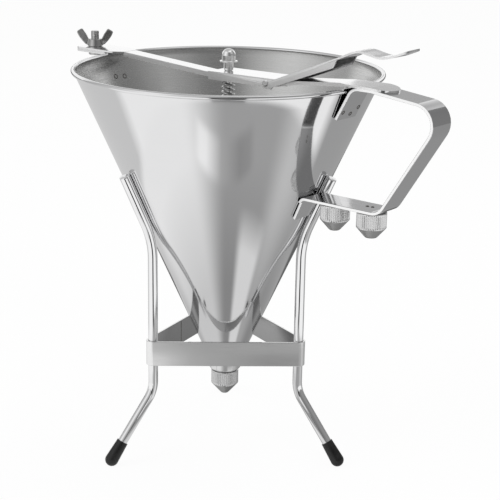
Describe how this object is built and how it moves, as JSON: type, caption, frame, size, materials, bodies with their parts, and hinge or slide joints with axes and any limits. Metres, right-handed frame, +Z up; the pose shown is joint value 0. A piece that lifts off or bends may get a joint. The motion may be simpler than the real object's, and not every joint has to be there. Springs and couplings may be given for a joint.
{
  "type": "batter dispenser",
  "caption": "Conical sheet-steel batter funnel with a strap handle and thumb lever valve, resting in a wire stand with rubber feet.",
  "frame": {"origin": "middle of the object's footprint box, at table level", "axes": "+X towards the handle, +Z up, +Y to the handle's left; the funnel's axis is at x = -14 mm"},
  "size_m": [0.2757, 0.19, 0.2703],
  "materials": {
    "funnel_sheet": "mirror polished outside, satin inside",
    "polished_strap": "mirror polished stainless",
    "turned_steel": "bright turned",
    "turned_nozzle": "bright turned, fine upright knurl",
    "plated_screw": "dark bright plating",
    "spring_wire": "bright wire",
    "stand_wire": "bright polished wire",
    "stand_band": "satin",
    "black_rubber": "matt black"
  },
  "bodies": {
    "stand": {"leg_right": "stand_wire", "leg_left": "stand_wire", "leg_back": "stand_wire", "foot_cap_right": "black_rubber", "foot_cap_left": "black_rubber", "foot_cap_back": "black_rubber", "stand_band": "stand_band"},
    "funnel": {"funnel_cone": "funnel_sheet", "outlet_ferrule": "turned_steel", "handle_strap": "polished_strap", "bridge_bracket": "polished_strap", "clamp_bolt": "plated_screw", "stud_inner": "turned_steel", "stud_outer": "turned_steel"},
    "bridge": {"bridge_bar": "polished_strap", "pivot_pin": "plated_screw", "return_spring": "spring_wire"},
    "lever": {"lever": "polished_strap"},
    "rod": {"valve_rod": "turned_steel", "valve_plug": "turned_steel", "spring_collar": "turned_steel", "neck_nut": "turned_steel", "dome_knob": "turned_steel"},
    "wing_nut": {"wing_nut": "plated_screw"},
    "nozzle": {"outlet_nozzle": "turned_nozzle"},
    "spare_inner": {"spare_nozzle_inner": "turned_nozzle"},
    "spare_outer": {"spare_nozzle_outer": "turned_nozzle"}
  },
  "joints": [
    {"name": "funnel_lift", "type": "slide", "parent": "stand", "child": "funnel", "axis": [0, 0, 1], "range_m": [0, 0.15]},
    {"name": "bridge_lift", "type": "slide", "parent": "funnel", "child": "bridge", "axis": [0, 0, 1], "range_m": [0, 0.2]},
    {"name": "lever_press", "type": "hinge", "parent": "bridge", "child": "lever", "pos_m": [0.0225, 0, 0.2413], "axis": [0, 1, 0], "range_deg": [0, 7.5], "stiffness_Nm_per_rad": 0.7, "springref_deg": -11.46},
    {"name": "rod_lift", "type": "slide", "parent": "bridge", "child": "rod", "axis": [0, 0, 1], "range_m": [0, 0.0053], "deforming": ["return_spring"]},
    {"name": "wing_nut_turn", "type": "hinge", "parent": "bridge", "child": "wing_nut", "pos_m": [-0.129, 0, 0.25], "axis": [0, 0, 1], "continuous": true},
    {"name": "nozzle_turn", "type": "hinge", "parent": "funnel", "child": "nozzle", "pos_m": [-0.014, 0, 0.045], "axis": [0, 0, 1], "continuous": true},
    {"name": "spare_inner_turn", "type": "hinge", "parent": "funnel", "child": "spare_inner", "pos_m": [0.06864, 0, 0.17], "axis": [0, 0, 1], "continuous": true},
    {"name": "spare_outer_turn", "type": "hinge", "parent": "funnel", "child": "spare_outer", "pos_m": [0.09434, 0, 0.17], "axis": [0, 0, 1], "continuous": true}
  ],
  "couplings": [
    {"joint": "rod_lift", "follows": "lever_press", "m_per_rad": 0.0395}
  ]
}
